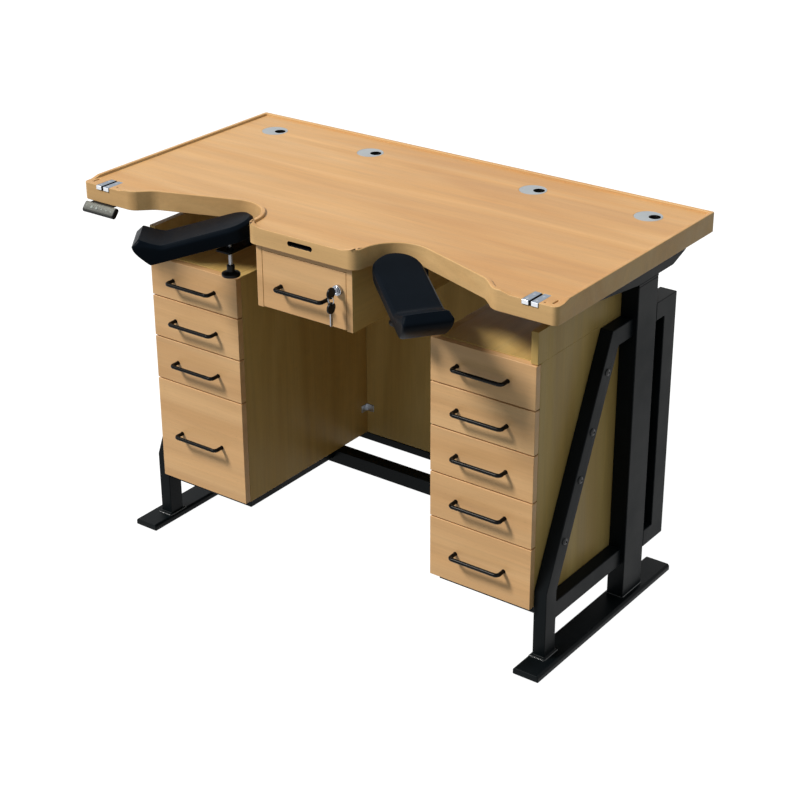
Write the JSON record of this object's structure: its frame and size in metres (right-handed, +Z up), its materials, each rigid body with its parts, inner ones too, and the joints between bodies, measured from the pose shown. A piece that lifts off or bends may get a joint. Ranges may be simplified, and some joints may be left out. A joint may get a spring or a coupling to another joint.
{
  "type": "height-adjustable watchmaker's bench",
  "caption": "Scooped wooden bench top on lifting columns over two drawer pedestals in a steel frame, with swivelling padded armrests, a lockable centre drawer and a hand control.",
  "frame": {"origin": "on the floor, under the middle of the bench's overall box", "axes": "+X to the right of the person at the bench, +Y to the back of the bench, +Z up"},
  "size_m": [1.2, 0.7298, 0.863],
  "materials": {
    "beech": "clear-lacquered light beech",
    "beech_front": "clear-lacquered light beech fronts",
    "black_steel": "satin black powder coat",
    "zinc_steel": "bright zinc-plated steel",
    "aluminium": "satin anodised",
    "chrome": "polished chrome",
    "pad_foam": "smooth moulded foam skin, near-black",
    "rubber": "matte",
    "black_plastic": "fine-textured moulding",
    "grey_plastic": "satin moulding"
  },
  "bodies": {
    "frame": {"foot_bars": "black_steel", "foot_pads": "rubber", "outer_column_left": "black_steel", "outer_column_right": "black_steel", "side_frame_left": "black_steel", "side_frame_right": "black_steel", "cross_rails": "black_steel", "pedestal_bases": "black_steel", "back_panel": "beech", "panel_brackets": "zinc_steel", "pedestal_sides": "beech", "pedestal_boards": "beech", "side_upstands": "beech", "post_bolts": "black_steel", "drawer_runners": "zinc_steel"},
    "table": {"tabletop": "beech", "table_arms": "black_steel", "inner_columns": "zinc_steel", "lift_motors": "black_steel", "cross_beam": "black_steel", "centre_case": "beech", "centre_runners": "zinc_steel", "armrest_brackets": "black_steel", "corner_plates": "aluminium", "cable_grommets": "aluminium", "handset": "black_plastic", "control_box": "black_plastic"},
    "drive_screw_left": {"drive_screw_left": "zinc_steel"},
    "drive_screw_right": {"drive_screw_right": "zinc_steel"},
    "left_drawer_1": {"left_drawer_1": "beech_front", "left_handle_1": "black_steel"},
    "left_drawer_2": {"left_drawer_2": "beech_front", "left_handle_2": "black_steel"},
    "left_drawer_3": {"left_drawer_3": "beech_front", "left_handle_3": "black_steel"},
    "left_drawer_4": {"left_drawer_4": "beech_front", "left_handle_4": "black_steel"},
    "right_drawer_1": {"right_drawer_1": "beech_front", "right_handle_1": "black_steel"},
    "right_drawer_2": {"right_drawer_2": "beech_front", "right_handle_2": "black_steel"},
    "right_drawer_3": {"right_drawer_3": "beech_front", "right_handle_3": "black_steel"},
    "right_drawer_4": {"right_drawer_4": "beech_front", "right_handle_4": "black_steel"},
    "right_drawer_5": {"right_drawer_5": "beech_front", "right_handle_5": "black_steel"},
    "centre_drawer": {"centre_drawer": "beech_front", "centre_handle": "black_steel", "drawer_lock": "chrome"},
    "drawer_key": {"drawer_key": "chrome"},
    "spare_key": {"spare_key": "chrome"},
    "armrest_bush_left": {"armrest_bush_left": "zinc_steel"},
    "armrest_screw_left": {"armrest_screw_left": "black_plastic"},
    "armrest_left": {"armrest_left": "pad_foam"},
    "armrest_bush_right": {"armrest_bush_right": "zinc_steel"},
    "armrest_screw_right": {"armrest_screw_right": "black_plastic"},
    "armrest_right": {"armrest_right": "pad_foam"},
    "handset_up_button": {"handset_up_button": "grey_plastic"},
    "handset_down_button": {"handset_down_button": "grey_plastic"}
  },
  "joints": [
    {"name": "table_lift", "type": "slide", "parent": "frame", "child": "table", "axis": [0, 0, 1], "range_m": [0, 0.3]},
    {"name": "drive_screw_left_turn", "type": "hinge", "parent": "table", "child": "drive_screw_left", "pos_m": [-0.525, 0.20195, 0.12], "axis": [0, 0, 1], "range_deg": [-20, 13600]},
    {"name": "drive_screw_right_turn", "type": "hinge", "parent": "table", "child": "drive_screw_right", "pos_m": [0.525, 0.20195, 0.12], "axis": [0, 0, 1], "range_deg": [-20, 13600]},
    {"name": "left_drawer_1_slide", "type": "slide", "parent": "frame", "child": "left_drawer_1", "axis": [0, -1, 0], "range_m": [0, 0.35]},
    {"name": "left_drawer_2_slide", "type": "slide", "parent": "frame", "child": "left_drawer_2", "axis": [0, -1, 0], "range_m": [0, 0.35]},
    {"name": "left_drawer_3_slide", "type": "slide", "parent": "frame", "child": "left_drawer_3", "axis": [0, -1, 0], "range_m": [0, 0.35]},
    {"name": "left_drawer_4_slide", "type": "slide", "parent": "frame", "child": "left_drawer_4", "axis": [0, -1, 0], "range_m": [0, 0.35]},
    {"name": "right_drawer_1_slide", "type": "slide", "parent": "frame", "child": "right_drawer_1", "axis": [0, -1, 0], "range_m": [0, 0.35]},
    {"name": "right_drawer_2_slide", "type": "slide", "parent": "frame", "child": "right_drawer_2", "axis": [0, -1, 0], "range_m": [0, 0.35]},
    {"name": "right_drawer_3_slide", "type": "slide", "parent": "frame", "child": "right_drawer_3", "axis": [0, -1, 0], "range_m": [0, 0.35]},
    {"name": "right_drawer_4_slide", "type": "slide", "parent": "frame", "child": "right_drawer_4", "axis": [0, -1, 0], "range_m": [0, 0.35]},
    {"name": "right_drawer_5_slide", "type": "slide", "parent": "frame", "child": "right_drawer_5", "axis": [0, -1, 0], "range_m": [0, 0.35]},
    {"name": "centre_drawer_slide", "type": "slide", "parent": "table", "child": "centre_drawer", "axis": [0, -1, 0], "range_m": [0, 0.27]},
    {"name": "key_turn", "type": "hinge", "parent": "centre_drawer", "child": "drawer_key", "pos_m": [0.089, -0.23505, 0.768], "axis": [0, -1, 0], "range_deg": [0, 90]},
    {"name": "spare_key_swing", "type": "hinge", "parent": "drawer_key", "child": "spare_key", "pos_m": [0.089, -0.26005, 0.7603], "axis": [1, 0, 0], "range_deg": [-50, 12]},
    {"name": "armrest_bush_left_rise", "type": "slide", "parent": "table", "child": "armrest_bush_left", "axis": [0, 0, 1], "range_m": [-0.008, 0.018]},
    {"name": "armrest_screw_left_turn", "type": "hinge", "parent": "armrest_bush_left", "child": "armrest_screw_left", "pos_m": [-0.218, -0.20905, 0.774], "axis": [0, 0, 1], "range_deg": [-2310, 5190]},
    {"name": "armrest_left_swivel", "type": "hinge", "parent": "armrest_bush_left", "child": "armrest_left", "pos_m": [-0.218, -0.20905, 0.7935], "axis": [0, 0, -1], "range_deg": [-45, 15]},
    {"name": "armrest_bush_right_rise", "type": "slide", "parent": "table", "child": "armrest_bush_right", "axis": [0, 0, 1], "range_m": [-0.008, 0.018]},
    {"name": "armrest_screw_right_turn", "type": "hinge", "parent": "armrest_bush_right", "child": "armrest_screw_right", "pos_m": [0.218, -0.20905, 0.774], "axis": [0, 0, 1], "range_deg": [-2310, 5190]},
    {"name": "armrest_right_swivel", "type": "hinge", "parent": "armrest_bush_right", "child": "armrest_right", "pos_m": [0.218, -0.20905, 0.7935], "axis": [0, 0, 1], "range_deg": [-45, 15]},
    {"name": "up_button_press", "type": "slide", "parent": "table", "child": "handset_up_button", "axis": [0, 0.7547, -0.6561], "range_m": [0, 0.0008], "stiffness_N_per_m": 300, "springref_m": -0.0006},
    {"name": "down_button_press", "type": "slide", "parent": "table", "child": "handset_down_button", "axis": [0, 0.7547, -0.6561], "range_m": [0, 0.0008], "stiffness_N_per_m": 300, "springref_m": -0.0006}
  ],
  "couplings": [
    {"joint": "drive_screw_left_turn", "follows": "table_lift", "rad_per_m": 785.4},
    {"joint": "drive_screw_right_turn", "follows": "table_lift", "rad_per_m": 785.4},
    {"joint": "armrest_screw_left_turn", "follows": "armrest_bush_left_rise", "rad_per_m": 5026.5},
    {"joint": "armrest_screw_right_turn", "follows": "armrest_bush_right_rise", "rad_per_m": 5026.5}
  ]
}
